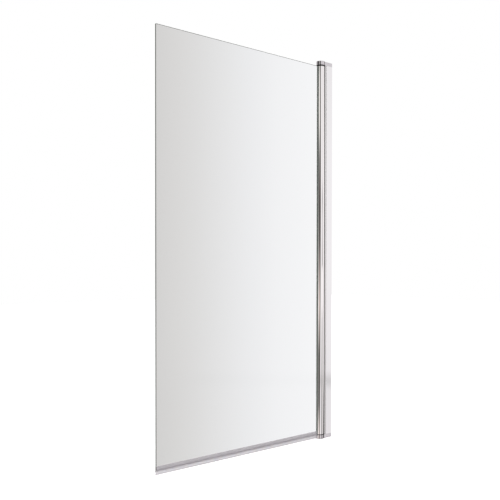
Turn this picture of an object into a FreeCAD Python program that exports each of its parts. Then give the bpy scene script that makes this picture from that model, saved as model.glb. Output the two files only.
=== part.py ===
"""Pivot bath screen: one pane of toughened glass that swings on a round hinge tube.

The tube turns between two end caps on a pivot post, and the post slides into a channel
that is screwed to the wall. Lengths are in millimetres. The wall face is the plane X = 0,
the glass stands in the plane Y = 0 and reaches towards -X, the bath is on the +Y side, and
Z = 0 is the bath rim under the bottom cap.
"""

import FreeCAD, Part
import math
import operator
import os
import Sketcher
from types import SimpleNamespace

Vector = FreeCAD.Vector
UP = Vector(0, 0, 1)
ALONG_X = Vector(1, 0, 0)

SIZES = {
    # the whole screen
    "screen_width": 785,  # wall face to the glass's free edge
    "overall_height": 1433,  # over both end caps
    "pivot_setback": 51,  # wall face to the axis that the glass swings about
    "bottom_gap": 2.5,  # the bottom cap's rim to the tube's foot
    "top_gap": 5,  # the tube's head to the top cap's rim, room to lift the tube off its pin
    "glass_thick": 5,
    "glass_arris": 0.4,  # ground off each long edge of the pane
    # hinge tube, an extrusion
    "tube_radius": 15.75,
    "tube_wall": 1.8,
    "tube_web": 1.8,
    "bore_wall": 2,
    # flanged bushes and pins that the tube turns on
    "bush_radius": 4.5,
    "bush_length": 22,
    "flange_inset": 2.25,  # the tube's side to the flange's rim
    "pin_radius": 3,
    "pin_clearance": 0.05,
    "pin_seat": 10,  # length held in the pivot block
    "pin_reach": 18,  # length inside the bush's barrel
    "pin_chamfer": 0.5,
    "washer_radius": 8,
    "washer_thick": 0.5,
    # glazing gasket in the tube's slot
    "gasket_side": 1.5,
    "gasket_floor": 1.2,
    "lip_thick": 1.5,
    "lip_reach": 1,  # how far the lip laps over the tube at each side of the slot
    "lip_seat": 0.05,
    # end caps
    "cap_height": 14.5,
    "cap_wall": 1.6,
    "cap_overhang": 0.75,  # how far the cap's nose stands out past the tube
    "cap_round": 1,
    "neck_round": 4,  # blends the cap's nose into its straight sides
    "peg_radius": 1.5,
    "peg_length": 6,
    "peg_wall_gap": 1.6,  # the peg's side to the pivot block's side
    "peg_clearance": 0.05,
    # wall channel, an extrusion
    "channel_width": 25,
    "channel_depth": 30,
    "channel_wall": 1.5,
    "mouth_round": 0.7,  # on the outer edge of each leg's end
    "rib_height": 0.5,
    "rib_width": 1.5,
    "rib_inset": 0.5,
    "wall_hole_radius": 2.75,
    "wall_hole_end": 71.5,  # end of the screen to the nearest wall screw
    "wall_hole_count": 4,
    # pivot post, an extrusion
    "post_setback": 14,  # wall face to the post's back
    "post_wall": 1.5,
    "guide_fit": 0.1,  # clearance between the post and the channel's ribs
    "cove_gap": 3.25,  # between the tube and the post's hollow front
    "cove_wall": 2.4,
    "horn_round": 0.4,  # on the edge where the cove meets the post's side
    "port_radius": 1.7,
    "port_wall": 1.6,
    "port_inset": 4.6,
    # seals between the post and the tube
    "groove_angle": 24,
    "groove_width": 2,
    "groove_depth": 1.4,
    "seal_clearance": 0.3,
    # pivot blocks
    "block_fit": 0.15,
    "block_web": 3.5,
    "block_rim": 2.2,
    "boss_radius": 6,
    "pocket_angle": 50,
    "pocket_count": 6,
    "block_hole_radius": 2,
    "block_screw_length": 24,
    "block_head_radius": 3.3,
    "block_head_height": 2.4,
    "counterbore_radius": 3.5,
    "counterbore_depth": 4.5,
    # side screws that lock the post in the channel, with their covers
    "side_inset": 25,
    "side_end": 150,
    "side_count": 3,
    "side_screw_radius": 1.75,
    "side_screw_length": 9.5,
    "side_hole_radius": 2.1,
    "side_head_radius": 3.4,
    "side_head_height": 2.2,
    "side_washer_radius": 5.2,
    "side_washer_thick": 1,
    "cover_wall": 0.8,
    "cover_headroom": 0.5,
    "cover_dome": 1,
    # seal along the foot of the glass
    "seal_wall": 1.1,
    "seal_grip": 11.2,
    "seal_nose_gap": 0.8,
    "rim_gap": 1,
    "blade_tip": 0.7,
    "blade_lean": 3.5,
    "fin_thick": 0.8,
    "fin_reach": 5,
    "fin_drop": 7,
}


class Size:
    """A length held twice: as its number, and as the sheet's formula for it."""

    def __init__(self, value, formula):
        self.value = value
        self.formula = formula

    def __neg__(self):
        return Size(-self.value, f"-({self.formula})")

    def __add__(self, other):
        return combine(operator.add, self, "+", other)

    def __sub__(self, other):
        return combine(operator.sub, self, "-", other)

    def __mul__(self, other):
        return combine(operator.mul, self, "*", other)

    def __truediv__(self, other):
        return combine(operator.truediv, self, "/", other)


def size_of(number):
    """A Size stays as it is, and a plain number becomes one."""
    return number if isinstance(number, Size) else Size(number, repr(number))


def combine(operation, first, sign, second):
    """The Size that two others make with one sign between them."""
    first, second = size_of(first), size_of(second)
    value = operation(first.value, second.value)
    return Size(value, f"({first.formula}{sign}{second.formula})")


def other_side(radius, side):
    """The third side of a right triangle with this longest side: where a circle meets a line."""
    value = math.sqrt(radius.value**2 - side.value**2)
    return Size(value, f"sqrt({(radius * radius - side * side).formula})")


def cosine(angle):
    return Size(math.cos(math.radians(angle.value)), f"cos({angle.formula}*1deg)")


def sine(angle):
    return Size(math.sin(math.radians(angle.value)), f"sin({angle.formula}*1deg)")


# ---- the document and its sheet of sizes ------------------------------------------------

doc = FreeCAD.newDocument("bath_screen")
sheet = doc.addObject("Spreadsheet::Sheet", "Sizes")
for row, (word, number) in enumerate(SIZES.items(), start=1):
    sheet.set(f"A{row}", str(number))
    sheet.setAlias(f"A{row}", word)
doc.recompute()
d = SimpleNamespace(**{word: Size(number, f"Sizes.{word}") for word, number in SIZES.items()})
ZERO = Size(0, "0")

# sizes that several pieces share
tube_foot = d.cap_height + d.bottom_gap
tube_head = d.cap_height + d.top_gap  # measured down from the top
tube_length = d.overall_height - tube_foot - tube_head
post_length = d.overall_height - d.cap_height * 2
nose_radius = d.tube_radius + d.cap_overhang
channel_half = d.channel_width / 2
post_half = channel_half - d.channel_wall - d.rib_height - d.guide_fit
cove_radius = d.tube_radius + d.cove_gap
slot_half = d.glass_thick / 2 + d.gasket_side
slot_floor = d.bush_radius + d.bore_wall  # pivot axis to the floor of the glass slot
glass_inset = slot_floor + d.gasket_floor  # pivot axis to the edge of the glass in the slot
glass_width = d.screen_width - d.pivot_setback - glass_inset
flange_thick = d.bottom_gap - d.washer_thick
flange_radius = d.tube_radius - d.flange_inset
port_setback = d.post_setback + d.port_inset  # wall face to the two rear screw ports
port_offset = post_half - d.port_inset
front_port = cove_radius + d.port_inset  # pivot axis to the front screw port
block_foot = d.cap_wall + d.block_fit
block_half = channel_half - d.cap_wall - d.block_fit
peg_offset = block_half - d.peg_wall_gap - d.peg_radius
peg_place = front_port  # the pegs stand either side of the front port
side_spacing = (d.overall_height - d.side_end * 2) / (d.side_count - 1)
cover_radius = d.side_washer_radius + d.cover_wall
cover_height = d.side_washer_thick + d.side_head_height + d.cover_headroom + d.cover_wall


# ---- sketching ---------------------------------------------------------------------------


def new_body(label, x=ZERO, z=ZERO, turned=False):
    """An empty body whose own origin stands at (x, 0, z), upside down where it is turned."""
    body = doc.addObject("PartDesign::Body", label)
    body.Label = label
    half_turn = FreeCAD.Rotation(ALONG_X, 180 if turned else 0)
    body.Placement = FreeCAD.Placement(Vector(x.value, 0, z.value), half_turn)
    body.setExpression("Placement.Base.x", x.formula)
    body.setExpression("Placement.Base.z", z.formula)
    return body


def end_body(label, top):
    """A body on the pivot axis, standing on the rim or hanging upside down from the top."""
    return new_body(label, -d.pivot_setback, d.overall_height if top else ZERO, top)


def new_sketch(body, name, role="XY_Plane", lift=ZERO):
    """A sketch on one of the body's own planes, lifted off it."""
    plane = next(f for f in body.Origin.OriginFeatures if f.Role == role)
    sketch = body.newObject("Sketcher::SketchObject", name)
    sketch.AttachmentSupport = [(plane, "")]
    sketch.MapMode = "FlatFace"
    sketch.setExpression("AttachmentOffset.Base.z", lift.formula)
    return sketch


def pin_point(sketch, geometry, point, x, y):
    """Hold one point of the sketch at (x, y)."""
    for direction, along in (("DistanceX", x), ("DistanceY", y)):
        rule = Sketcher.Constraint(direction, -1, 1, geometry, point, along.value)
        index = sketch.addConstraint(rule)
        sketch.setExpression(f"Constraints[{index}]", along.formula)


def circle(sketch, x, y, radius):
    """A circle about (x, y)."""
    centre = Vector(x.value, y.value, 0)
    edge = sketch.addGeometry(Part.Circle(centre, UP, radius.value))
    pin_point(sketch, edge, 3, x, y)
    index = sketch.addConstraint(Sketcher.Constraint("Radius", edge, radius.value))
    sketch.setExpression(f"Constraints[{index}]", radius.formula)


def arc_between(start, end, radius, turn):
    """The shorter arc from start to end; a turn of 1 runs anticlockwise, and -1 clockwise."""
    chord = end - start
    across = Vector(-chord.y, chord.x, 0).normalize() * turn
    centre = (start + end) / 2 + across * math.sqrt(radius**2 - (chord.Length / 2) ** 2)
    first, last = (start, end) if turn > 0 else (end, start)
    angles = [math.atan2(p.y - centre.y, p.x - centre.x) for p in (first, last)]
    return Part.ArcOfCircle(Part.Circle(centre, UP, radius), *angles)


def outline(sketch, corners):
    """A closed outline through the corners (x, y).

    A corner with a radius and a turn after its place starts an arc to the next corner.
    """
    corners = [tuple(size_of(number) for number in corner) for corner in corners]
    places = [Vector(corner[0].value, corner[1].value, 0) for corner in corners]
    edges = []
    for corner, start, end in zip(corners, places, places[1:] + places[:1]):
        if len(corner) == 2:
            edge = sketch.addGeometry(Part.LineSegment(start, end))
            edges.append((edge, 1, 2))
            continue
        radius, turn = corner[2], corner[3].value
        edge = sketch.addGeometry(arc_between(start, end, radius.value, turn))
        index = sketch.addConstraint(Sketcher.Constraint("Radius", edge, radius.value))
        sketch.setExpression(f"Constraints[{index}]", radius.formula)
        edges.append((edge, 1, 2) if turn > 0 else (edge, 2, 1))
    for corner, edge, before in zip(corners, edges, edges[-1:] + edges[:-1]):
        joined = Sketcher.Constraint("Coincident", before[0], before[2], edge[0], edge[1])
        sketch.addConstraint(joined)
        pin_point(sketch, edge[0], edge[1], corner[0], corner[1])


def rectangle(sketch, x_low, x_high, y_low, y_high):
    outline(sketch, [(x_low, y_low), (x_high, y_low), (x_high, y_high), (x_low, y_high)])


# ---- features ----------------------------------------------------------------------------


def pad(body, sketch, length, backwards=False):
    """Add the sketch's outline as a solid of this length."""
    feature = body.newObject("PartDesign::Pad", f"{sketch.Name}_pad")
    feature.Profile = sketch
    feature.Reversed = backwards
    feature.setExpression("Length", length.formula)
    sketch.Visibility = False
    doc.recompute()
    return feature


def pocket(body, sketch, depth=None, backwards=True):
    """Cut the sketch's outline out of the body, to a depth or all the way."""
    before = body.Shape.Volume
    feature = body.newObject("PartDesign::Pocket", f"{sketch.Name}_cut")
    feature.Profile = sketch
    feature.Reversed = backwards
    if depth is None:
        feature.Type = "ThroughAll"
    else:
        feature.setExpression("Length", depth.formula)
    sketch.Visibility = False
    doc.recompute()
    if body.Shape.Volume >= before:
        raise RuntimeError(f"{feature.Name} cuts nothing")
    return feature


def repeat(body, feature, direction, count, step):
    """Repeat a feature in a row, with the first where it is."""
    row = body.newObject("PartDesign::LinearPattern", f"{feature.Name}_row")
    row.Originals = [feature]
    row.Direction = direction
    row.setExpression("Occurrences", count.formula)
    row.setExpression("Length", (step * (count - 1)).formula)
    body.Tip = row
    doc.recompute()


def mirror(body, *features):
    """Repeat features on the other side of the plane of the glass."""
    plane = next(f for f in body.Origin.OriginFeatures if f.Role == "XZ_Plane")
    twin = body.newObject("PartDesign::Mirrored", f"{features[0].Name}_twin")
    twin.Originals = list(features)
    twin.MirrorPlane = (plane, [""])
    body.Tip = twin
    doc.recompute()


def upright_edge(edge, x, half):
    """Whether the edge runs straight up at this X, this far to either side of the glass."""
    box = edge.BoundBox
    beside = abs(abs(box.Center.y) - half.value) < 0.001
    return beside and abs(box.Center.x - x.value) < 0.001 and box.ZLength > box.DiagonalLength / 2


def soften(body, kind, amount, wanted):
    """Round or bevel the edges of the body that the test picks."""
    base = body.Tip
    edges = enumerate(base.Shape.Edges, start=1)
    names = [f"Edge{number}" for number, edge in edges if wanted(edge)]
    feature = body.newObject(f"PartDesign::{kind}", f"{body.Name}_{kind.lower()}")
    feature.Base = (base, names)
    length = "Radius" if kind == "Fillet" else "Size"
    feature.setExpression(length, amount.formula)
    doc.recompute()


def lies_at(edge, height):
    """Whether the whole edge lies at this height in the body's own frame."""
    box = edge.BoundBox
    return max(abs(box.ZMin - height), abs(box.ZMax - height)) < 0.001


# ---- the fixed pieces --------------------------------------------------------------------


def wall_channel():
    """U-shaped wall profile: its web is screwed to the wall and its legs hold the post."""
    body = new_body("wall_channel", z=d.cap_height)
    inner = channel_half - d.channel_wall
    section = new_sketch(body, "channel_section")
    rectangle(section, -d.channel_depth, ZERO, -channel_half, channel_half)
    pad(body, section, post_length)
    soften(
        body,
        "Fillet",
        d.mouth_round,
        lambda edge: upright_edge(edge, -d.channel_depth, channel_half),
    )
    hollow = new_sketch(body, "channel_hollow")
    rectangle(hollow, -d.channel_depth, -d.channel_wall, -inner, inner)
    pocket(body, hollow)

    # two guide ribs along each leg, one at the mouth and one at the back of the post
    mouth = -d.channel_depth + d.rib_inset
    back = -d.post_setback - d.rib_inset
    ribs = []
    for name, near, far in (
        ("mouth_rib", mouth, mouth + d.rib_width),
        ("back_rib", back - d.rib_width, back),
    ):
        rib = new_sketch(body, name)
        rectangle(rib, near, far, inner - d.rib_height, inner)
        ribs.append(pad(body, rib, post_length))
    mirror(body, *ribs)

    wall_hole = new_sketch(body, "wall_hole", "YZ_Plane")
    circle(wall_hole, ZERO, d.wall_hole_end - d.cap_height, d.wall_hole_radius)
    hole = pocket(body, wall_hole, d.channel_wall, backwards=False)
    wall_holes = d.overall_height - d.wall_hole_end * 2
    upright = next(f for f in body.Origin.OriginFeatures if f.Role == "Z_Axis")
    repeat(body, hole, (upright, [""]), d.wall_hole_count, wall_holes / (d.wall_hole_count - 1))

    side_hole = new_sketch(body, "side_hole", "XZ_Plane", -channel_half)
    circle(side_hole, -d.side_inset, d.side_end - d.cap_height, d.side_hole_radius)
    hole = pocket(body, side_hole, d.channel_wall, backwards=True)
    repeat(body, hole, (upright, [""]), d.side_count, side_spacing)
    return body


def pivot_post():
    """Hollow post with a round cove for the tube, three screw ports and two seal grooves."""
    body = new_body("pivot_post", z=d.cap_height)
    front = -d.pivot_setback + other_side(cove_radius, post_half)
    section = new_sketch(body, "post_section")
    outline(
        section,
        [
            (front, post_half, cove_radius, -1),
            (front, -post_half),
            (-d.post_setback, -post_half),
            (-d.post_setback, post_half),
        ],
    )
    pad(body, section, post_length)
    soften(body, "Fillet", d.horn_round, lambda edge: upright_edge(edge, front, post_half))

    # the hollow follows the cove one wall behind it
    inner_half = post_half - d.post_wall
    hollow_radius = cove_radius + d.cove_wall
    hollow_front = -d.pivot_setback + other_side(hollow_radius, inner_half)
    hollow_back = -d.post_setback - d.post_wall
    hollow = new_sketch(body, "post_hollow")
    outline(
        hollow,
        [
            (hollow_front, inner_half, hollow_radius, -1),
            (hollow_front, -inner_half),
            (hollow_back, -inner_half),
            (hollow_back, inner_half),
        ],
    )
    pocket(body, hollow)

    # screw ports: one behind the cove and one in each rear corner
    ports = (
        (-d.pivot_setback + front_port, ZERO),
        (-port_setback, port_offset),
        (-port_setback, -port_offset),
    )
    bosses = new_sketch(body, "port_bosses")
    bores = new_sketch(body, "port_bores")
    for x, y in ports:
        circle(bosses, x, y, d.port_radius + d.port_wall)
        circle(bores, x, y, d.port_radius)
    pad(body, bosses, post_length)
    pocket(body, bores)

    # a square groove near each horn of the cove for its seal
    groove = new_sketch(body, "seal_groove")
    turn_about_pivot(groove, d.groove_angle)
    half = d.groove_width / 2
    rectangle(groove, d.tube_radius, cove_radius + d.groove_depth, -half, half)
    mirror(body, pocket(body, groove))

    pilot = new_sketch(body, "side_pilot", "XZ_Plane", -post_half)
    circle(pilot, -d.side_inset, d.side_end - d.cap_height, d.side_screw_radius)
    upright = next(f for f in body.Origin.OriginFeatures if f.Role == "Z_Axis")
    hole = pocket(body, pilot, d.post_wall, backwards=True)
    repeat(body, hole, (upright, [""]), d.side_count, side_spacing)
    return body


def turn_about_pivot(sketch, angle):
    """Move a sketch's own origin to the pivot axis and turn it about that axis."""
    turned = FreeCAD.Rotation(UP, angle.value)
    sketch.AttachmentOffset = FreeCAD.Placement(Vector(-d.pivot_setback.value, 0, 0), turned)
    sketch.setExpression("AttachmentOffset.Base.x", (-d.pivot_setback).formula)
    sketch.setExpression("AttachmentOffset.Rotation.Angle", angle.formula)


def cove_seal(label, angle):
    """Seal strip in a groove of the cove, with its nose just short of the turning tube."""
    body = new_body(label, z=d.cap_height)
    section = new_sketch(body, f"{label}_section")
    turn_about_pivot(section, angle)
    half = d.groove_width / 2
    nose = d.tube_radius + d.seal_clearance
    rectangle(section, nose, cove_radius + d.groove_depth, -half, half)
    pad(body, section, post_length)
    return body


def keyhole(body, name, head_radius, half, back, height, lift=ZERO):
    """Pad a keyhole plan: a round head on the pivot axis with a straight-sided body behind."""
    neck = other_side(head_radius, half)
    head = new_sketch(body, f"{name}_head", lift=lift)
    circle(head, ZERO, ZERO, head_radius)
    pad(body, head, height)
    straight = new_sketch(body, f"{name}_straight", lift=lift)
    rectangle(straight, neck - head_radius / 2, back, -half, half)
    pad(body, straight, height)


def end_cap(label, top):
    """Chromed cover over a pivot block: a keyhole-shaped cup with two push-fit pegs."""
    body = end_body(label, top)
    keyhole(body, label, nose_radius, channel_half, d.pivot_setback, d.cap_height)
    outer_neck = other_side(nose_radius, channel_half)
    soften(
        body, "Fillet", d.neck_round, lambda edge: upright_edge(edge, outer_neck, channel_half)
    )

    inner_radius = nose_radius - d.cap_wall
    inner_half = channel_half - d.cap_wall
    inner_back = d.pivot_setback - d.cap_wall
    neck = other_side(inner_radius, inner_half)
    depth = d.cap_height - d.cap_wall
    hollow = new_sketch(body, f"{label}_hollow", lift=d.cap_height)
    circle(hollow, ZERO, ZERO, inner_radius)
    pocket(body, hollow, depth, backwards=False)
    hollow = new_sketch(body, f"{label}_hollow_back", lift=d.cap_height)
    rectangle(hollow, neck - inner_radius / 2, inner_back, -inner_half, inner_half)
    pocket(body, hollow, depth, backwards=False)

    pegs = new_sketch(body, f"{label}_pegs", lift=d.cap_wall)
    for side in (-1, 1):
        circle(pegs, peg_place, peg_offset * side, d.peg_radius)
    pad(body, pegs, d.peg_length)

    # the outer edge is rounded all the way round, apart from the end that meets the wall
    wall = d.pivot_setback.value - 0.001
    soften(
        body,
        "Fillet",
        d.cap_round,
        lambda edge: lies_at(edge, 0) and edge.BoundBox.XMin < wall,
    )
    return body


def pivot_block(label, top):
    """Cast block that carries the pivot pin: screwed to the post's end, ribbed on its back."""
    body = end_body(label, top)
    head_radius = nose_radius - d.cap_wall - d.block_fit
    height = d.cap_height - block_foot
    back = d.pivot_setback - d.post_setback
    keyhole(body, label, head_radius, block_half, back, height, block_foot)

    # six pockets round the pin's boss leave radial ribs between them
    half_angle = d.pocket_angle / 2
    rim = head_radius - d.block_rim
    section = new_sketch(body, f"{label}_pocket", lift=block_foot)
    outline(
        section,
        [
            (d.boss_radius * cosine(half_angle), -d.boss_radius * sine(half_angle)),
            (rim * cosine(half_angle), -rim * sine(half_angle), rim, 1),
            (rim * cosine(half_angle), rim * sine(half_angle)),
            (d.boss_radius * cosine(half_angle), d.boss_radius * sine(half_angle), d.boss_radius, -1),
        ],
    )
    cut = pocket(body, section, height - d.block_web)
    ring = body.newObject("PartDesign::PolarPattern", f"{label}_ribs")
    ring.Originals = [cut]
    upright = next(f for f in body.Origin.OriginFeatures if f.Role == "Z_Axis")
    ring.Axis = (upright, [""])
    ring.Angle = 360
    ring.setExpression("Occurrences", d.pocket_count.formula)
    body.Tip = ring
    doc.recompute()

    seat = new_sketch(body, f"{label}_pin_seat", lift=d.cap_height)
    circle(seat, ZERO, ZERO, d.pin_radius)
    pocket(body, seat, d.pin_seat, backwards=False)

    pegs = new_sketch(body, f"{label}_peg_holes", lift=block_foot)
    for side in (-1, 1):
        circle(pegs, peg_place, peg_offset * side, d.peg_radius + d.peg_clearance)
    pocket(body, pegs, d.peg_length)

    holes = new_sketch(body, f"{label}_screw_holes", lift=block_foot)
    sinks = new_sketch(body, f"{label}_counterbores", lift=block_foot)
    for x, y in block_screw_places():
        circle(holes, x, y, d.block_hole_radius)
        circle(sinks, x, y, d.counterbore_radius)
    pocket(body, holes)
    pocket(body, sinks, d.counterbore_depth)
    return body


def block_screw_places():
    """Where the three screws stand, measured from the pivot axis."""
    rear = d.pivot_setback - port_setback
    return ((front_port, ZERO), (rear, port_offset), (rear, -port_offset))


def block_screws(label, top):
    """Three self-tapping screws that hold a pivot block to the post's end."""
    body = end_body(label, top)
    seat = block_foot + d.counterbore_depth
    heads = new_sketch(body, f"{label}_heads", lift=seat - d.block_head_height)
    shanks = new_sketch(body, f"{label}_shanks", lift=seat)
    for x, y in block_screw_places():
        circle(heads, x, y, d.block_head_radius)
        circle(shanks, x, y, d.port_radius)
    body.AllowCompound = True
    pad(body, heads, d.block_head_height)
    pad(body, shanks, d.block_screw_length)
    return body


def pivot_pin(label, top):
    """Steel pin from the pivot block into the tube's bush."""
    body = end_body(label, top)
    section = new_sketch(body, f"{label}_section", lift=d.cap_height - d.pin_seat)
    circle(section, ZERO, ZERO, d.pin_radius)
    gap = d.top_gap if top else d.bottom_gap
    length = d.pin_seat + gap + d.pin_reach
    pad(body, section, length)
    low = (d.cap_height - d.pin_seat).value
    high = low + length.value
    soften(
        body,
        "Chamfer",
        d.pin_chamfer,
        lambda edge: lies_at(edge, low) or lies_at(edge, high),
    )
    return body


def thrust_washer():
    """Steel washer that carries the weight of the glass on the bottom block."""
    body = end_body("thrust_washer", top=False)
    ring = new_sketch(body, "washer_ring", lift=d.cap_height)
    circle(ring, ZERO, ZERO, d.washer_radius)
    circle(ring, ZERO, ZERO, d.pin_radius + d.pin_clearance * 2)
    pad(body, ring, d.washer_thick)
    return body


def side_body(label):
    """A body whose own +Z points from the channel's bath side towards the bath."""
    body = doc.addObject("PartDesign::Body", label)
    body.Label = label
    x, y, z = -d.side_inset, channel_half, d.side_end
    outwards = FreeCAD.Rotation(ALONG_X, -90)
    body.Placement = FreeCAD.Placement(Vector(x.value, y.value, z.value), outwards)
    for axis, place in zip("xyz", (x, y, z)):
        body.setExpression(f"Placement.Base.{axis}", place.formula)
    body.AllowCompound = True
    return body


def repeat_upwards(body):
    """Repeat everything in a side body at each side screw."""
    upright = next(f for f in body.Origin.OriginFeatures if f.Role == "Y_Axis")
    solids = [f for f in body.Group if f.isDerivedFrom("PartDesign::Feature")]
    row = body.newObject("PartDesign::LinearPattern", f"{body.Name}_row")
    row.Originals = solids
    row.Direction = (upright, [""])
    row.Reversed = True
    row.setExpression("Occurrences", d.side_count.formula)
    row.setExpression("Length", (side_spacing * (d.side_count - 1)).formula)
    body.Tip = row
    doc.recompute()


def revolve(body, sketch):
    """Turn the sketch's outline once about the body's own Z axis."""
    feature = body.newObject("PartDesign::Revolution", f"{sketch.Name}_turned")
    feature.Profile = sketch
    axis = next(f for f in body.Origin.OriginFeatures if f.Role == "Z_Axis")
    feature.ReferenceAxis = (axis, [""])
    feature.Angle = 360
    sketch.Visibility = False
    doc.recompute()


def side_screws():
    """Pan-head screws through the channel's bath side into the post."""
    body = side_body("side_screws")
    seat = d.side_washer_thick
    tip = seat - d.side_screw_length
    profile = new_sketch(body, "side_screw_profile", "XZ_Plane")
    outline(
        profile,
        [
            (ZERO, tip),
            (d.side_screw_radius, tip),
            (d.side_screw_radius, seat),
            (d.side_head_radius, seat),
            (d.side_head_radius, seat + d.side_head_height),
            (ZERO, seat + d.side_head_height),
        ],
    )
    revolve(body, profile)
    repeat_upwards(body)
    return body


def side_washers():
    """Plastic washers that the screw covers snap on to."""
    body = side_body("side_screw_washers")
    profile = new_sketch(body, "side_washer_profile", "XZ_Plane")
    rectangle(profile, d.side_hole_radius, d.side_washer_radius, ZERO, d.side_washer_thick)
    revolve(body, profile)
    repeat_upwards(body)
    return body


def side_covers():
    """Chromed snap-on covers over the heads of the side screws."""
    body = side_body("side_screw_covers")
    shoulder = cover_height - d.cover_dome
    inside = cover_height - d.cover_wall
    dome_radius = (cover_radius * cover_radius + d.cover_dome * d.cover_dome) / (d.cover_dome * 2)
    profile = new_sketch(body, "side_cover_profile", "XZ_Plane")
    outline(
        profile,
        [
            (d.side_washer_radius, ZERO),
            (cover_radius, ZERO),
            (cover_radius, shoulder, dome_radius, 1),
            (ZERO, cover_height),
            (ZERO, inside - d.cover_dome / 2),
            (d.side_washer_radius, inside - d.cover_dome / 2),
        ],
    )
    revolve(body, profile)
    repeat_upwards(body)
    return body


# ---- the pieces that swing ---------------------------------------------------------------


def hinge_tube():
    """Round hollow extrusion: a slot for the glass, a bore for the bushes, two chambers."""
    body = new_body("hinge_tube", -d.pivot_setback, tube_foot)
    section = new_sketch(body, "tube_section")
    circle(section, ZERO, ZERO, d.tube_radius)
    pad(body, section, tube_length)

    bore = new_sketch(body, "tube_bore")
    circle(bore, ZERO, ZERO, d.bush_radius)
    pocket(body, bore)

    slot = new_sketch(body, "glass_slot")
    rectangle(slot, -d.tube_radius, -slot_floor, -slot_half, slot_half)
    pocket(body, slot)

    # each chamber runs from the slot's wall round to the web opposite the slot
    shell = d.tube_radius - d.tube_wall
    hub = d.bush_radius + d.bore_wall
    slot_wall = slot_half + d.tube_web
    half_web = d.tube_web / 2
    chamber = new_sketch(body, "tube_chamber")
    outline(
        chamber,
        [
            (-other_side(shell, slot_wall), -slot_wall, shell, 1),
            (other_side(shell, half_web), -half_web),
            (other_side(hub, half_web), -half_web, hub, -1),
            (-other_side(hub, slot_wall), -slot_wall),
        ],
    )
    mirror(body, pocket(body, chamber))
    return body


def flanged_bush(label, top):
    """Black acetal bush pressed into the tube, with a broad flange under the tube's end."""
    body = end_body(label, top)
    foot = tube_head if top else tube_foot
    flange = new_sketch(body, f"{label}_flange", lift=foot - flange_thick)
    circle(flange, ZERO, ZERO, flange_radius)
    pad(body, flange, flange_thick)
    barrel = new_sketch(body, f"{label}_barrel", lift=foot)
    circle(barrel, ZERO, ZERO, d.bush_radius)
    pad(body, barrel, d.bush_length)
    bore = new_sketch(body, f"{label}_bore")
    circle(bore, ZERO, ZERO, d.pin_radius + d.pin_clearance)
    pocket(body, bore)
    return body


def glazing_gasket():
    """U-shaped gasket round the edge of the glass, with a lip over each side of the slot."""
    body = new_body("glazing_gasket", -d.pivot_setback, tube_foot)
    glass_half = d.glass_thick / 2
    lip_half = slot_half + d.lip_reach
    lip_back = -other_side(d.tube_radius, slot_half) - d.lip_seat
    lip_front = lip_back - d.lip_thick
    section = new_sketch(body, "gasket_section")
    outline(
        section,
        [
            (-glass_inset, -glass_half),
            (lip_front, -glass_half),
            (lip_front, -lip_half + d.lip_thick / 2),
            (lip_front + d.lip_thick / 2, -lip_half),
            (lip_back, -lip_half),
            (lip_back, -slot_half),
            (-slot_floor, -slot_half),
            (-slot_floor, slot_half),
            (lip_back, slot_half),
            (lip_back, lip_half),
            (lip_front + d.lip_thick / 2, lip_half),
            (lip_front, lip_half - d.lip_thick / 2),
            (lip_front, glass_half),
            (-glass_inset, glass_half),
        ],
    )
    pad(body, section, tube_length)
    return body


def glass_panel():
    """Toughened clear pane with ground edges."""
    body = new_body("glass_panel", -d.pivot_setback, tube_foot)
    section = new_sketch(body, "glass_section")
    half = d.glass_thick / 2
    rectangle(section, -glass_inset - glass_width, -glass_inset, -half, half)
    pad(body, section, tube_length)
    soften(
        body,
        "Chamfer",
        d.glass_arris,
        lambda edge: edge.Length > d.glass_thick.value * 2,
    )
    return body


def bottom_seal():
    """Clear seal pushed on the foot of the glass: a clip, a leaning blade and a drip fin."""
    body = new_body("bottom_seal", -d.pivot_setback - nose_radius - d.seal_nose_gap)
    inner = d.glass_thick / 2
    outer = inner + d.seal_wall
    floor = tube_foot - d.seal_wall
    grip = tube_foot + d.seal_grip
    root = d.seal_wall / 2
    tip = d.blade_lean - d.blade_tip / 2
    fin_root = floor - d.fin_thick
    # on this plane a sketch's own x runs towards the bath, and its y runs upwards
    section = new_sketch(body, "seal_section", "YZ_Plane")
    outline(
        section,
        [
            (-inner, grip),
            (-outer + d.seal_wall / 4, grip),
            (-outer, grip - d.seal_wall / 2),
            (-outer, floor),
            (-root, floor),
            (tip, d.rim_gap),
            (tip + d.blade_tip, d.rim_gap),
            (root, fin_root),
            (outer, fin_root),
            (outer + d.fin_reach, fin_root - d.fin_drop),
            (outer + d.fin_reach + d.fin_thick, fin_root - d.fin_drop),
            (outer, floor),
            (outer, grip - d.seal_wall / 2),
            (outer - d.seal_wall / 4, grip),
            (inner, grip),
            (inner, tube_foot),
            (-inner, tube_foot),
        ],
    )
    seal_length = d.screen_width - d.pivot_setback - nose_radius - d.seal_nose_gap
    pad(body, section, seal_length, backwards=True)
    return body


# ---- building and writing ----------------------------------------------------------------

pieces = [
    wall_channel(),
    pivot_post(),
    cove_seal("front_cove_seal", -d.groove_angle),
    cove_seal("rear_cove_seal", d.groove_angle),
    end_cap("bottom_cap", top=False),
    end_cap("top_cap", top=True),
    pivot_block("bottom_pivot_block", top=False),
    pivot_block("top_pivot_block", top=True),
    block_screws("bottom_block_screws", top=False),
    block_screws("top_block_screws", top=True),
    pivot_pin("bottom_pivot_pin", top=False),
    pivot_pin("top_pivot_pin", top=True),
    thrust_washer(),
    side_screws(),
    side_washers(),
    side_covers(),
    hinge_tube(),
    flanged_bush("bottom_bush", top=False),
    flanged_bush("top_bush", top=True),
    glazing_gasket(),
    glass_panel(),
    bottom_seal(),
]
doc.recompute()

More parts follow.
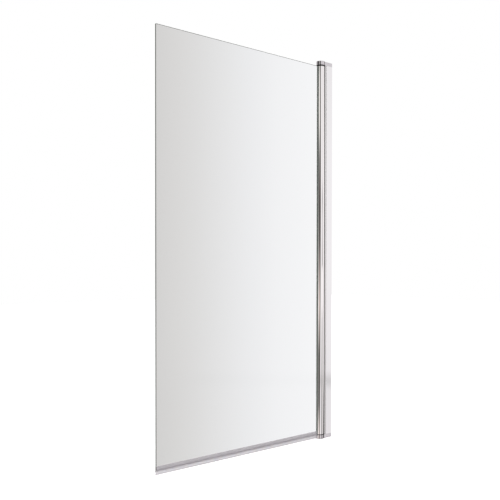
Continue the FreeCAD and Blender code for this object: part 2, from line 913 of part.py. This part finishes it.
for item in doc.Objects:
    if "Invalid" in item.State or "Error" in item.State:
        raise RuntimeError(f"{item.Label} didn't build: {item.State}")
for piece in pieces:
    if piece.Shape.isNull() or not piece.Shape.isValid():
        raise RuntimeError(f"{piece.Label} has no valid shape")

os.makedirs("parts", exist_ok=True)
for piece in pieces:
    piece.Shape.exportStep(f"parts/{piece.Label}.step")
    box = piece.Shape.BoundBox
    low = f"({box.XMin:.2f}, {box.YMin:.2f}, {box.ZMin:.2f})"
    high = f"({box.XMax:.2f}, {box.YMax:.2f}, {box.ZMax:.2f})"
    count = len(piece.Shape.Solids)
    print(f"{piece.Label}: {count} solid(s), {piece.Shape.Volume:.0f} mm3, {low} to {high}")
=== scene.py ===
"""A pivot bath screen as it stands on the bath rim: wall side first, then what swings.

Everything is in metres. The wall face is X = 0, the closed pane stands in Y = 0 and
reaches towards -X, the bath is on the +Y side, and the rim is Z = 0.
"""

import math

import bpy
import numpy as np
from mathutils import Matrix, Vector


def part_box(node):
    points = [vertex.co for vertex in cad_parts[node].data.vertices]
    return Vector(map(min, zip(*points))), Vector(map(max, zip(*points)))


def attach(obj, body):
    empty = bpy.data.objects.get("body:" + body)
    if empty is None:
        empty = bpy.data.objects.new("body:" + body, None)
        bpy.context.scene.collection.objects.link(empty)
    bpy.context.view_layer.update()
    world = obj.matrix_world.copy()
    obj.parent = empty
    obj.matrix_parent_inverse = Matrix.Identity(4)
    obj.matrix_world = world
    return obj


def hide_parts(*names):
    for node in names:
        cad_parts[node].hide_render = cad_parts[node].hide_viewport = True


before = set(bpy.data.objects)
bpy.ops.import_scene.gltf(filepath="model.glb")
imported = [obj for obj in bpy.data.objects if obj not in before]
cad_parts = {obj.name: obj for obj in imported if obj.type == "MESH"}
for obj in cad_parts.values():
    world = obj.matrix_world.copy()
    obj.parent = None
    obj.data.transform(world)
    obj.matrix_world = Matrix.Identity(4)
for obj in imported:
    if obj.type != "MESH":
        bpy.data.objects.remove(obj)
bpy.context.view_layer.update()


# ---- wall channel --------------------------------------------------------------------------
# The U-shaped aluminium extrusion that is screwed to the tiles. It is bright anodised, so it
# mirrors the room softly, and the die has left faint lines along its whole length.


def add_node(tree, kind, settings=None, **inputs):
    """A node of this kind. An input is a value or another node's output.

    An input is named by its own name with "_" for a space, or by its place as "at0", "at1".
    """
    made = tree.nodes.new(f"ShaderNode{kind}")
    for name, value in (settings or {}).items():
        setattr(made, name, value)
    for name, value in inputs.items():
        place = name.removeprefix("at")
        socket = made.inputs[int(place) if place.isdigit() else name.replace("_", " ")]
        if isinstance(value, bpy.types.NodeSocket):
            tree.links.new(value, socket)
        else:
            socket.default_value = value
    return made


def new_group(name, inputs, outputs):
    """An empty node group with float inputs {name: default} and outputs [name]."""
    tree = bpy.data.node_groups.new(name, "ShaderNodeTree")
    tree.interface.new_socket("Coordinates", in_out="INPUT", socket_type="NodeSocketVector")
    for word, default in inputs.items():
        socket = tree.interface.new_socket(word, in_out="INPUT", socket_type="NodeSocketFloat")
        socket.default_value = default
    for word in outputs:
        tree.interface.new_socket(word, in_out="OUTPUT", socket_type="NodeSocketFloat")
    return tree, tree.nodes.new("NodeGroupInput"), tree.nodes.new("NodeGroupOutput")


def use_group(tree, group, **inputs):
    """The group placed in a material, fed with object coordinates."""
    coordinates = add_node(tree, "TexCoord").outputs["Object"]
    return add_node(tree, "Group", {"node_tree": group}, Coordinates=coordinates, **inputs)


def new_material(name):
    """A material with only its Principled shader and output, and that shader."""
    made = bpy.data.materials.new(name)
    made.use_nodes = True
    made.node_tree.nodes.clear()
    shader = add_node(made.node_tree, "BsdfPrincipled")
    output = add_node(made.node_tree, "OutputMaterial")
    made.node_tree.links.new(shader.outputs[0], output.inputs["Surface"])
    return made, shader


def principled(made):
    """The Principled shader of a material."""
    return made.node_tree.nodes["Principled BSDF"]


def join(made, source, socket):
    """A link in a material, from an output to an input."""
    made.node_tree.links.new(source, socket)


def finish_node(name, made):
    """Put this material on a CAD node."""
    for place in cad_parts[name].material_slots:
        place.link = "OBJECT"
        place.material = made


# Die lines: noise drawn out along Z, fine across the profile, with a slow change of tone that
# polishing leaves. Streak is 0 to 1 and Cloud is 0 to 1.
die_lines, lines_in, lines_out = new_group(
    "die_lines", {"Lines per metre": 1400.0, "Cloud size": 7.0}, ["Streak", "Cloud"]
)
across = lines_in.outputs["Lines per metre"]
stretch = add_node(die_lines, "CombineXYZ", X=across, Y=across, Z=2.5)
stretched = add_node(
    die_lines,
    "VectorMath",
    {"operation": "MULTIPLY"},
    at0=lines_in.outputs["Coordinates"],
    at1=stretch.outputs[0],
)
streak = add_node(
    die_lines, "TexNoise", Vector=stretched.outputs[0], Scale=1.0, Detail=3.0, Roughness=0.6
)
cloud = add_node(
    die_lines,
    "TexNoise",
    Vector=lines_in.outputs["Coordinates"],
    Scale=lines_in.outputs["Cloud size"],
    Detail=2.0,
)
die_lines.links.new(streak.outputs["Fac"], lines_out.inputs["Streak"])
die_lines.links.new(cloud.outputs["Fac"], lines_out.inputs["Cloud"])

# nearly all of a noise texture's values lie between these two
noise_low, noise_high = 0.3, 0.7


def extruded_aluminium(name, tint, shade, line_count, smoothest, roughest):
    """Bright extrusion: tint where it is cleanest, shade where polishing left a haze."""
    made, shader = new_material(name)
    tree = made.node_tree
    lines = use_group(tree, die_lines, **{"Lines per metre": line_count})
    tone = add_node(
        tree, "Mix", {"data_type": "RGBA"}, at0=lines.outputs["Cloud"], at6=tint, at7=shade
    )
    join(made, tone.outputs[2], shader.inputs["Base Color"])
    rough = add_node(
        tree, "MapRange", Value=lines.outputs["Streak"], From_Min=noise_low,
        From_Max=noise_high, To_Min=smoothest, To_Max=roughest,
    )
    join(made, rough.outputs[0], shader.inputs["Roughness"])
    line_depth = 4e-6
    bump = add_node(
        tree, "Bump", Strength=0.6, Distance=line_depth, Height=lines.outputs["Streak"]
    )
    join(made, bump.outputs[0], shader.inputs["Normal"])
    shader.inputs["Metallic"].default_value = 1.0
    return made


channel_aluminium = extruded_aluminium(
    "channel_aluminium", (0.88, 0.865, 0.88, 1), (0.85, 0.84, 0.85, 1), line_count=1100.0,
    smoothest=0.02, roughest=0.04,
)


def object_place(tree):
    """A point's X, Y and Z on the piece, as a node's outputs."""
    coordinates = add_node(tree, "TexCoord").outputs["Object"]
    return add_node(tree, "SeparateXYZ", Vector=coordinates).outputs


def leave_mouth_satin(made, buffed_from, satin_roughness=0.55, satin_metal=0.3):
    """The buffing wheel misses the ends of the legs, which keep a milky anodised skin."""
    tree = made.node_tree
    shader = principled(made)
    buffed = shader.inputs["Roughness"].links[0].from_socket
    at_mouth = add_node(
        tree, "Math", {"operation": "LESS_THAN"}, at0=object_place(tree)["X"], at1=buffed_from
    ).outputs[0]
    satin = add_node(tree, "Mix", at0=at_mouth, at2=buffed, at3=satin_roughness)
    join(made, satin.outputs[0], shader.inputs["Roughness"])
    milky = add_node(tree, "Mix", at0=at_mouth, at2=1.0, at3=satin_metal)
    join(made, milky.outputs[0], shader.inputs["Metallic"])


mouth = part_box("wall_channel")[0].x
satin_reach = 0.0005
leave_mouth_satin(channel_aluminium, mouth + satin_reach)
finish_node("wall_channel", channel_aluminium)


# ---- pivot post ----------------------------------------------------------------------------
# The hollow extrusion that slides in the channel to take up a wall out of plumb. Its front
# is a round cove for the hinge tube, and its finish is the channel's.

post_aluminium = extruded_aluminium(
    "post_aluminium", (0.89, 0.875, 0.88, 1), (0.85, 0.84, 0.84, 1), line_count=1500.0,
    smoothest=0.03, roughest=0.06,
)
finish_node("pivot_post", post_aluminium)


# ---- cove seals ----------------------------------------------------------------------------
# Two strips of soft grey rubber pushed into grooves in the cove. They stop water that runs
# round the tube, and their skin is dull with the fine grain of a rubber extrusion.

fine_grain, grain_in, grain_out = new_group(
    "fine_grain", {"Grain size": 2500.0, "Patch size": 60.0}, ["Grain", "Patch"]
)
for word, size in (("Grain", "Grain size"), ("Patch", "Patch size")):
    noise = add_node(
        fine_grain,
        "TexNoise",
        Vector=grain_in.outputs["Coordinates"],
        Scale=grain_in.outputs[size],
        Detail=2.0,
    )
    fine_grain.links.new(noise.outputs["Fac"], grain_out.inputs[word])


def moulded(name, tint, shade, roughness, depth, grain=2500.0, patch=60.0):
    """A moulded or extruded plastic: grain for its skin, patches for its tone and gloss.

    The depth is the grain's, in metres, and the roughness goes 15 % to either side.
    """
    made, shader = new_material(name)
    tree = made.node_tree
    skin = use_group(tree, fine_grain, **{"Grain size": grain, "Patch size": patch})
    tone = add_node(
        tree, "Mix", {"data_type": "RGBA"}, at0=skin.outputs["Patch"], at6=tint, at7=shade
    )
    join(made, tone.outputs[2], shader.inputs["Base Color"])
    rough = add_node(
        tree, "MapRange", Value=skin.outputs["Patch"], From_Min=noise_low, From_Max=noise_high,
        To_Min=roughness * 0.85, To_Max=roughness * 1.15,
    )
    join(made, rough.outputs[0], shader.inputs["Roughness"])
    bump = add_node(tree, "Bump", Strength=0.5, Distance=depth, Height=skin.outputs["Grain"])
    join(made, bump.outputs[0], shader.inputs["Normal"])
    return made


seal_rubber = moulded(
    "seal_rubber", (0.09, 0.095, 0.09, 1), (0.07, 0.075, 0.07, 1), roughness=0.55, depth=2e-5
)
for name in ("front_cove_seal", "rear_cove_seal"):
    finish_node(name, seal_rubber)


# ---- end caps ------------------------------------------------------------------------------
# Keyhole-shaped covers over the ends of the post, moulded in plastic and chrome plated. The
# plating follows the moulding's faint unevenness and mirrors the room darker than aluminium.


def chromed(name, tint, shade, unevenness):
    """Bright chrome plating over a moulding that isn't quite flat."""
    made = moulded(
        name, tint, shade, roughness=0.03, depth=unevenness, grain=420.0, patch=25.0
    )
    principled(made).inputs["Metallic"].default_value = 1.0
    return made


cap_chrome = chromed(
    "cap_chrome", (0.68, 0.655, 0.68, 1), (0.63, 0.61, 0.63, 1), unevenness=6e-6
)
for name in ("bottom_cap", "top_cap"):
    finish_node(name, cap_chrome)


# ---- pivot blocks, pins and their screws ---------------------------------------------------
# The black glass-filled castings under the caps, the steel pins and thrust washer that the
# screen turns on, and the zinc-plated screws that hold each block to the post.

block_nylon = moulded(
    "block_nylon", (0.022, 0.022, 0.024, 1), (0.035, 0.035, 0.037, 1), roughness=0.5,
    depth=3e-5, grain=900.0,
)
turned_steel = moulded(
    "turned_steel", (0.56, 0.56, 0.57, 1), (0.46, 0.46, 0.47, 1), roughness=0.28, depth=4e-6,
    grain=1800.0,
)
principled(turned_steel).inputs["Metallic"].default_value = 1.0
for end in ("bottom", "top"):
    finish_node(f"{end}_pivot_block", block_nylon)
    finish_node(f"{end}_pivot_pin", turned_steel)
    finish_node(f"{end}_block_screws", turned_steel)
finish_node("thrust_washer", turned_steel)


# ---- side screws and their covers ----------------------------------------------------------
# Three pan-head screws on the bath side lock the post in the channel once it is plumb. Each
# has a white nylon washer, and a small chromed cover snaps over it.

washer_nylon = moulded(
    "washer_nylon", (0.80, 0.80, 0.78, 1), (0.74, 0.74, 0.72, 1), roughness=0.45, depth=1e-5
)
cover_chrome = chromed(
    "cover_chrome", (0.66, 0.64, 0.66, 1), (0.60, 0.58, 0.60, 1), unevenness=4e-6
)
finish_node("side_screws", turned_steel)
finish_node("side_screw_washers", washer_nylon)
finish_node("side_screw_covers", cover_chrome)


# ---- hinge tube ----------------------------------------------------------------------------
# The round extrusion that grips the pane and turns with it. It is polished before it is
# anodised, and its slot has small radii where the gasket goes in.


def ring_walls(rings, count):
    """Four-sided faces between rings of count points, where each ring follows the last one.

    Face n of a wall has points n and n + 1 of its ring and the same two of the next ring, and
    the last face closes the ring.
    """
    ring, step = np.meshgrid(np.arange(rings - 1), np.arange(count), indexing="ij")
    after = (step + 1) % count
    corners = [(ring, step), (ring + 1, step), (ring + 1, after), (ring, after)]
    return np.stack([row * count + place for row, place in corners], 2).reshape(-1, 4).tolist()


def end_faces(rings, count):
    """One face over the first ring and one over the last, each turned outwards."""
    last = (rings - 1) * count
    return [list(range(count)), list(range(last, last + count))[::-1]]


def hinge_tube_mesh():
    """The tube's section carried straight up.

    The section runs round the outer circle from one side of the glass slot to the other,
    turns into the slot over a small radius, and follows the slot's sides and floor back. Each
    end of the tube has one more ring, drawn in by the deburring radius.
    """
    pivot, radius = -0.051, 0.01575
    slot_half, slot_floor, slot_edge = 0.004, 0.0065, 0.0004
    deburring = 0.00025
    round_steps, bend_steps = 289, 9
    low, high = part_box("hinge_tube")

    slot_angle = math.asin((slot_half + slot_edge) / (radius - slot_edge))
    turn = np.linspace(math.pi - slot_angle, slot_angle - math.pi, round_steps)
    round_side = np.stack([radius * np.cos(turn), radius * np.sin(turn)], 1)
    to_slot_edge = np.array([-math.cos(slot_angle), math.sin(slot_angle)])
    bend = np.linspace(math.pi - slot_angle, 3 * math.pi / 2, bend_steps)[1:]
    bent_in = (radius - slot_edge) * to_slot_edge + slot_edge * np.stack(
        [np.cos(bend), np.sin(bend)], 1
    )
    slot = [(-slot_floor, -slot_half), (-slot_floor, slot_half)]
    section = np.concatenate([round_side, bent_in * (1, -1), slot, bent_in[::-1]])

    levels = np.array([low.z, low.z + deburring, high.z - deburring, high.z])
    drawn_in = 1 - deburring / radius
    rings = section[None, :, :] * np.array([drawn_in, 1, 1, drawn_in])[:, None, None]
    height = np.broadcast_to(levels[:, None, None], (len(levels), len(section), 1))
    points = np.concatenate([rings + (pivot, 0), height], 2).reshape(-1, 3)
    faces = ring_walls(len(levels), len(section)) + end_faces(len(levels), len(section))
    mesh = bpy.data.meshes.new("hinge_tube_extrusion")
    mesh.from_pydata(points.tolist(), [], faces)
    return mesh


def new_piece(mesh, body, slot, *materials):
    """An object of this mesh that rides on a body and carries these materials; the slot is not
    used.
    """
    made = bpy.data.objects.new(mesh.name, mesh)
    bpy.context.scene.collection.objects.link(made)
    for material in materials:
        mesh.materials.append(material)
    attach(made, body)
    return made


def shade_by_angle(mesh, angle):
    """Smooth shading, with a crease wherever two faces meet at more than this angle."""
    mesh.shade_smooth()
    mesh.set_sharp_from_angle(angle=math.radians(angle))


tube_aluminium = extruded_aluminium(
    "tube_aluminium", (0.93, 0.91, 0.915, 1), (0.90, 0.885, 0.89, 1), line_count=1700.0,
    smoothest=0.02, roughest=0.045,
)
tube_mesh = hinge_tube_mesh()
shade_by_angle(tube_mesh, 40)
hinge_tube = new_piece(tube_mesh, "screen", "polished_aluminium", tube_aluminium)
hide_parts("hinge_tube")


# ---- bushes --------------------------------------------------------------------------------
# Black acetal bushes pressed into the ends of the tube. Their broad flanges fill the gap to
# the caps, and the moulding is a dull black.

bush_acetal = moulded(
    "bush_acetal", (0.012, 0.011, 0.011, 1), (0.02, 0.019, 0.018, 1), roughness=0.42,
    depth=1.5e-5, grain=1500.0,
)
for name in ("bottom_bush", "top_bush"):
    finish_node(name, bush_acetal)


# ---- glazing gasket ------------------------------------------------------------------------
# The grey-green U of soft plastic that is wedged between the pane and the tube's slot. Its
# lips lie over both sides of the slot.

gasket_vinyl = moulded(
    "gasket_vinyl", (0.16, 0.18, 0.16, 1), (0.135, 0.155, 0.14, 1), roughness=0.4, depth=1.2e-5
)
finish_node("glazing_gasket", gasket_vinyl)


# ---- glass ---------------------------------------------------------------------------------
# One pane of 5 mm toughened glass. Its faces are clear with the faint roller wave of the
# furnace, and its edges are ground, with an arris along each, so they look grey green.


def pane_mesh():
    """The pane's edge profile carried round its outline.

    The outline is a rectangle whose corners are arcs. At each face the profile steps in by
    the arris over a quarter round, and one flat face closes each side.
    """
    corner, arris = 0.0008, 0.0004
    corner_steps, arris_steps = 6, 5
    low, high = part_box("glass_panel")
    half = (high.y - low.y) / 2
    centre = np.array([(low.x + high.x) / 2, (low.z + high.z) / 2])
    reach = np.array([(high.x - low.x) / 2, (high.z - low.z) / 2]) - corner

    quarter = np.linspace(0, math.pi / 2, corner_steps)
    turn = np.concatenate([quarter + side * math.pi / 2 for side in range(4)])
    signs = np.repeat([(1, 1), (-1, 1), (-1, -1), (1, -1)], corner_steps, axis=0)
    outwards = np.stack([np.cos(turn), np.sin(turn)], 1)
    lean = np.linspace(math.pi / 2, 0, arris_steps)
    inset = arris * (1 - np.cos(lean))
    depth = half - arris * (1 - np.sin(lean))
    rings = []
    for y, step in zip([*-depth, *depth[::-1]], [*inset, *inset[::-1]]):
        outline = centre + signs * reach + outwards * (corner - step)
        rings.append(np.stack([outline[:, 0], np.full(len(outline), y), outline[:, 1]], 1))
    # the two sides come first, so that they can be given the clear glass
    faces = end_faces(len(rings), len(turn)) + ring_walls(len(rings), len(turn))
    mesh = bpy.data.meshes.new("glass_pane")
    mesh.from_pydata(np.concatenate(rings).tolist(), [], faces)
    return mesh


def clear_glass_material():
    """Nearly colourless glass with a slow wave over each face."""
    made, shader = new_material("clear_glass")
    tree = made.node_tree
    wave = use_group(tree, fine_grain, **{"Grain size": 9.0, "Patch size": 3.0})
    tone = add_node(
        tree, "Mix", {"data_type": "RGBA"}, at0=wave.outputs["Patch"],
        at6=(0.985, 0.992, 0.988, 1), at7=(0.98, 0.988, 0.984, 1),
    )
    join(made, tone.outputs[2], shader.inputs["Base Color"])
    wave_height = 2e-5
    bump = add_node(
        tree, "Bump", Strength=0.3, Distance=wave_height, Height=wave.outputs["Grain"]
    )
    join(made, bump.outputs[0], shader.inputs["Normal"])
    shader.inputs["Roughness"].default_value = 0.0
    shader.inputs["IOR"].default_value = 1.52
    shader.inputs["Transmission Weight"].default_value = 1.0
    return made


clear_glass = clear_glass_material()


def ground_edge_material():
    """Ground glass, with painted shade that makes it greener and deeper towards the foot of
    the pane.
    """
    made = moulded(
        "ground_edge", (0.07, 0.08, 0.065, 1), (0.10, 0.11, 0.09, 1), roughness=0.45,
        depth=1.5e-5, grain=1200.0,
    )
    tree = made.node_tree
    shader = principled(made)
    shader.inputs["Specular IOR Level"].default_value = 0.12
    tone = shader.inputs["Base Color"].links[0].from_socket
    # painted shade: the edge's colour darkens from high on the pane down to its foot
    deepest_at, palest_at, deepest = 0.02, 1.2, 0.85
    low = add_node(
        tree, "MapRange", Value=object_place(tree)["Z"], From_Min=deepest_at,
        From_Max=palest_at, To_Min=deepest, To_Max=0.0,
    )
    foot_shade = add_node(
        tree, "Mix", {"data_type": "RGBA"}, at0=low.outputs[0], at6=tone,
        at7=(0.035, 0.038, 0.034, 1),
    )
    join(made, foot_shade.outputs[2], shader.inputs["Base Color"])
    return made


ground_edge = ground_edge_material()

pane = pane_mesh()
shade_by_angle(pane, 30)
for side in pane.polygons[:2]:
    side.use_smooth = False
glass_pane = new_piece(pane, "screen", "clear_glass", clear_glass, ground_edge)
# the first two faces are the sides, and the rest are the ground edge
pane.polygons.foreach_set("material_index", [0, 0] + [1] * (len(pane.polygons) - 2))
# light passes the pane, so it casts no shadow
glass_pane.visible_shadow = False
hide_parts("glass_panel")


# ---- bottom seal ---------------------------------------------------------------------------
# A clear plastic extrusion pushed on the foot of the pane: a stiff clip, a soft blade that
# wipes the rim, and a drip fin on the bath side. It has the lilac cast of clear vinyl.


def vinyl_material():
    """Clear clip above, clear blade below, and between them the web, which looks darker.

    The three are told apart by height, and thin vinyl lets most of the light through.
    """
    web_height, web_half, web_fade = 0.0163, 0.0008, 0.0022
    web_tone, web_share, web_body = (0.30, 0.27, 0.29, 1), 0.75, 0.4
    blade_top, clip_foot = 0.0145, 0.0155
    blade_alpha, clip_alpha = 0.5, 0.42
    made = moulded(
        "seal_vinyl", (0.64, 0.605, 0.64, 1), (0.57, 0.54, 0.57, 1), roughness=0.22, depth=1e-5
    )
    tree = made.node_tree
    shader = principled(made)
    tone = shader.inputs["Base Color"].links[0].from_socket
    height = object_place(tree)["Z"]
    away = add_node(tree, "Math", {"operation": "SUBTRACT"}, at0=height, at1=web_height)
    away = add_node(tree, "Math", {"operation": "ABSOLUTE"}, at0=away.outputs[0])
    web = add_node(
        tree, "MapRange", {"interpolation_type": "SMOOTHSTEP"}, Value=away.outputs[0],
        From_Min=web_half, From_Max=web_fade, To_Min=web_share, To_Max=0.0,
    )
    dark = add_node(
        tree, "Mix", {"data_type": "RGBA"}, at0=web.outputs[0], at6=tone, at7=web_tone
    )
    join(made, dark.outputs[2], shader.inputs["Base Color"])
    clear = add_node(
        tree, "MapRange", Value=height, From_Min=blade_top, From_Max=clip_foot,
        To_Min=blade_alpha, To_Max=clip_alpha,
    )
    body = add_node(
        tree, "Math", {"operation": "MULTIPLY_ADD"}, at0=web.outputs[0], at1=web_body,
        at2=clear.outputs[0],
    )
    join(made, body.outputs[0], shader.inputs["Alpha"])
    return made


seal_vinyl = vinyl_material()
finish_node("bottom_seal", seal_vinyl)


# ---- studio --------------------------------------------------------------------------------
# A pale floor, one large soft lamp and a white room. Boards stand round the room, which only
# gloss sees, and they draw the long lines down the polished tube.

floor_reach, floor_drop = 9, 0.0005
floor_corners = [
    (x * floor_reach, y * floor_reach, 0) for x, y in ((-1, -1), (1, -1), (1, 1), (-1, 1))
]
floor_mesh = bpy.data.meshes.new("floor")
floor_mesh.from_pydata(floor_corners, [], [(0, 1, 2, 3)])
floor = bpy.data.objects.new("floor", floor_mesh)
bpy.context.scene.collection.objects.link(floor)
floor.location.z = -floor_drop
# the metal mirrors the room, and the pane shows the backdrop, so both leave the floor out
floor.visible_glossy = False
floor.visible_transmission = False
floor_paint = bpy.data.materials.new("floor_paint")
floor_paint.use_nodes = True
tree = floor_paint.node_tree
tree.nodes.clear()
matt = add_node(tree, "BsdfDiffuse", Color=(0.9, 0.9, 0.9, 1))
# a little glow, which only the camera sees, lifts the paint to white round the shadow
for_camera = add_node(tree, "LightPath").outputs["Is Camera Ray"]
lift = add_node(tree, "Math", {"operation": "MULTIPLY"}, at0=for_camera, at1=0.4)
glow = add_node(tree, "Emission", Color=(1, 1, 1, 1), Strength=lift.outputs[0])
both = add_node(tree, "AddShader", at0=matt.outputs[0], at1=glow.outputs[0])
add_node(tree, "OutputMaterial", Surface=both.outputs[0])
floor_mesh.materials.append(floor_paint)

world = bpy.data.worlds.new("studio")
bpy.context.scene.world = world
world.use_nodes = True
tree = world.node_tree
tree.nodes.clear()
way = add_node(tree, "SeparateXYZ", Vector=add_node(tree, "TexCoord").outputs["Generated"])


def math_node(operation, *values):
    """The result of one sum on values or outputs."""
    names = {f"at{place}": value for place, value in enumerate(values)}
    return add_node(tree, "Math", {"operation": operation}, **names).outputs[0]


# compass angle in degrees: 0 along the pane to its free edge, 90 to the outside of the screen
outside = math_node("MULTIPLY", way.outputs["Y"], -1.0)
along_pane = math_node("MULTIPLY", way.outputs["X"], -1.0)
compass = math_node("DEGREES", math_node("ARCTAN2", outside, along_pane))
# how far a direction climbs: 0 is level, and 1 is straight up
rise = way.outputs["Z"]


def board(first, last, soft, angle=compass):
    """1 between two compass angles, 0 outside them, with soft edges."""
    inside = math_node(
        "MINIMUM", math_node("SUBTRACT", angle, first), math_node("SUBTRACT", last, angle)
    )
    return add_node(
        tree, "MapRange", {"interpolation_type": "SMOOTHSTEP"}, Value=inside,
        From_Min=-soft, From_Max=soft, To_Min=0.0, To_Max=1.0,
    ).outputs[0]


def leaning(foot, low, head, high):
    """A value that goes evenly from low at rise foot to high at rise head, steady beyond."""
    return add_node(
        tree, "MapRange", Value=rise, From_Min=foot, From_Max=head, To_Min=low, To_Max=high
    ).outputs[0]


def ramp(value, stops, cast=(1.0, 1.0, 1.0)):
    """A ramp over the value, with stops (place from -0.5 to 0.5, grey) in one colour cast."""
    made = add_node(tree, "ValToRGB", Fac=math_node("ADD", value, 0.5))
    bar = made.color_ramp
    bar.elements.remove(bar.elements[1])
    for place, grey in stops:
        if place == stops[0][0]:
            element = bar.elements[0]
            element.position = place + 0.5
        else:
            element = bar.elements.new(place + 0.5)
        element.color = (grey * cast[0], grey * cast[1], grey * cast[2], 1)
    return made.outputs["Color"]


def mix(amount, first, second):
    """The first colour where the amount is 0, and the second where it is 1."""
    return add_node(
        tree, "Mix", {"data_type": "RGBA"}, at0=amount, at6=first, at7=second
    ).outputs[2]


# the open room is white, with one dark shelf low down
room = ramp(
    rise,
    [(-0.45, 0.6), (-0.28, 0.9), (-0.18, 0.9), (-0.167, 0.7), (-0.152, 0.95), (0.0, 1.0),
     (0.15, 1.0), (0.27, 0.95)],
    (1.0, 0.985, 0.99),
)
# beside the open part, the wall grows greyer towards the floor
low_wall = ramp(
    rise, [(-0.2, 0.74), (-0.17, 0.8), (-0.15, 0.88), (-0.08, 0.96), (0.0, 1.0), (0.27, 0.95)],
    (1.0, 0.96, 0.96),
)
# the board at the left is patchy, and darkest near its head
left_board = ramp(
    rise,
    [(-0.235, 0.9), (-0.2, 0.25), (-0.13, 0.25), (-0.065, 0.95), (0.0, 0.5), (0.155, 0.12),
     (0.22, 0.4), (0.29, 0.05)],
    (1.0, 0.96, 0.92),
)
# the tall board is brown wood with a pale head
wood = ramp(
    rise,
    [(-0.235, 0.65), (-0.2, 0.07), (-0.13, 0.05), (-0.056, 0.9), (-0.02, 0.5), (0.03, 0.05),
     (0.085, 0.02), (0.15, 0.28)],
    (1.0, 0.78, 0.72),
)
pale_head = ramp(
    rise, [(0.085, 0.02), (0.15, 0.28), (0.2, 0.95), (0.26, 0.9), (0.29, 0.35)],
    (1.0, 0.98, 0.94),
)
tall_board = mix(leaning(0.09, 0.0, 0.14, 1.0), wood, pale_head)
# the dark board stands beside the wooden one
dark_board = ramp(
    rise,
    [(-0.235, 0.25), (-0.2, 0.1), (-0.12, 0.1), (-0.06, 0.25), (0.0, 0.18), (0.26, 0.14),
     (0.29, 0.07)],
    (1.0, 0.92, 0.86),
)
# a thin rod hangs in front of the wall, lit at its middle and its head
rod = ramp(
    rise,
    [(-0.17, 0.1), (-0.1, 0.3), (-0.078, 0.5), (-0.06, 1.0), (-0.01, 1.0), (0.0, 0.2),
     (0.06, 0.6), (0.095, 0.3), (0.125, 0.85)],
    (1.0, 0.97, 0.98),
)
# where the left board meets the wooden one, and how far the dark board reaches past them
join_angle = leaning(-0.08, 20.0, 0.2, 8.0)
widest_at, widest, narrowing = 0.08, 67.0, -47.0
from_widest = math_node("ABSOLUTE", math_node("SUBTRACT", rise, widest_at))
dark_reach = math_node("MULTIPLY_ADD", from_widest, narrowing, widest)
wood_edge, soft_edge = 35.0, 2.0
gloss = room
for first, last, paint in (
    (84.0, 125.0, low_wall),
    (141.0, 178.0, low_wall),
    (-50.0, join_angle, left_board),
    (join_angle, wood_edge, tall_board),
    (wood_edge, dark_reach, dark_board),
):
    gloss = mix(board(first, last, soft_edge), gloss, paint)
gloss = mix(board(99.0, 120.0, 1.5), gloss, rod)
# the corner behind the screen's own wall post is in the dark, widest at the top and the foot
turned = math_node("FLOORED_MODULO", compass, 360.0)
corner = math_node(
    "MINIMUM", leaning(-0.05, 206.0, 0.26, 168.0), leaning(-0.24, 156.0, -0.08, 206.0)
)
gloss = mix(board(corner, 232.0, 3.0, turned), gloss, (0.06, 0.055, 0.05, 1))
# the boards end below the white ceiling
gloss = mix(leaning(0.34, 0.0, 0.42, 1.0), gloss, (0.95, 0.94, 0.95, 1))

# what the pane shows through itself: a backdrop that is pale and cool behind the hinge, and
# darkens and warms towards the pane's free edge
darkest_at, per_degree = -104.0, 0.02
aside = math_node("ABSOLUTE", math_node("SUBTRACT", compass, darkest_at))
paler = math_node("SUBTRACT", math_node("MULTIPLY", aside, per_degree), 0.5)
tones = [(-0.14, 0.63), (-0.07, 0.71), (0.0, 0.81), (0.065, 0.89), (0.13, 0.93)]
cool = add_node(tree, "MapRange", Value=paler, From_Min=-0.1, From_Max=0.02).outputs[0]
through = mix(
    cool, ramp(paler, tones, (1.0, 0.983, 0.975)), ramp(paler, tones, (1.0, 0.997, 1.015))
)

path = add_node(tree, "LightPath")
# the tube mirrors the left board through the pane
mirrored = math_node("GREATER_THAN", path.outputs["Glossy Depth"], 0.5)
mirrored = math_node("MULTIPLY", board(-50.0, join_angle, soft_edge), mirrored)
through = mix(mirrored, through, left_board)
colour = mix(path.outputs["Is Glossy Ray"], (0.86, 0.86, 0.86, 1), gloss)
colour = mix(path.outputs["Is Transmission Ray"], colour, through)
colour = mix(path.outputs["Is Camera Ray"], colour, (1, 1, 1, 1))
background = add_node(tree, "Background", Color=colour, Strength=1.0)
add_node(tree, "OutputWorld", Surface=background.outputs[0])

lamp_light = bpy.data.lights.new("soft_lamp", "AREA")
lamp_light.shape = "RECTANGLE"
lamp_light.size = 2.4
lamp_light.size_y = 2.0
lamp_light.energy = 70
soft_lamp = bpy.data.objects.new("soft_lamp", lamp_light)
bpy.context.scene.collection.objects.link(soft_lamp)
soft_lamp.location = (-2.6, -2.9, 3.4)
soft_lamp.rotation_euler = (math.radians(48), 0, math.radians(-38))
soft_lamp.visible_glossy = False

# the camera stands where the photograph's straight edges say it stood
camera_data = bpy.data.cameras.new("camera")
camera_data.sensor_width = 36
camera_data.lens = 49.517
camera_data.shift_y = 0.0457
camera = bpy.data.objects.new("camera", camera_data)
bpy.context.scene.collection.objects.link(camera)
camera.location = (-1.9432, -1.8354, 0.6659)
camera.rotation_euler = (math.radians(89.24), math.radians(-0.055), math.radians(-40.062))
bpy.context.scene.camera = camera
bpy.context.scene.view_settings.view_transform = "Standard"
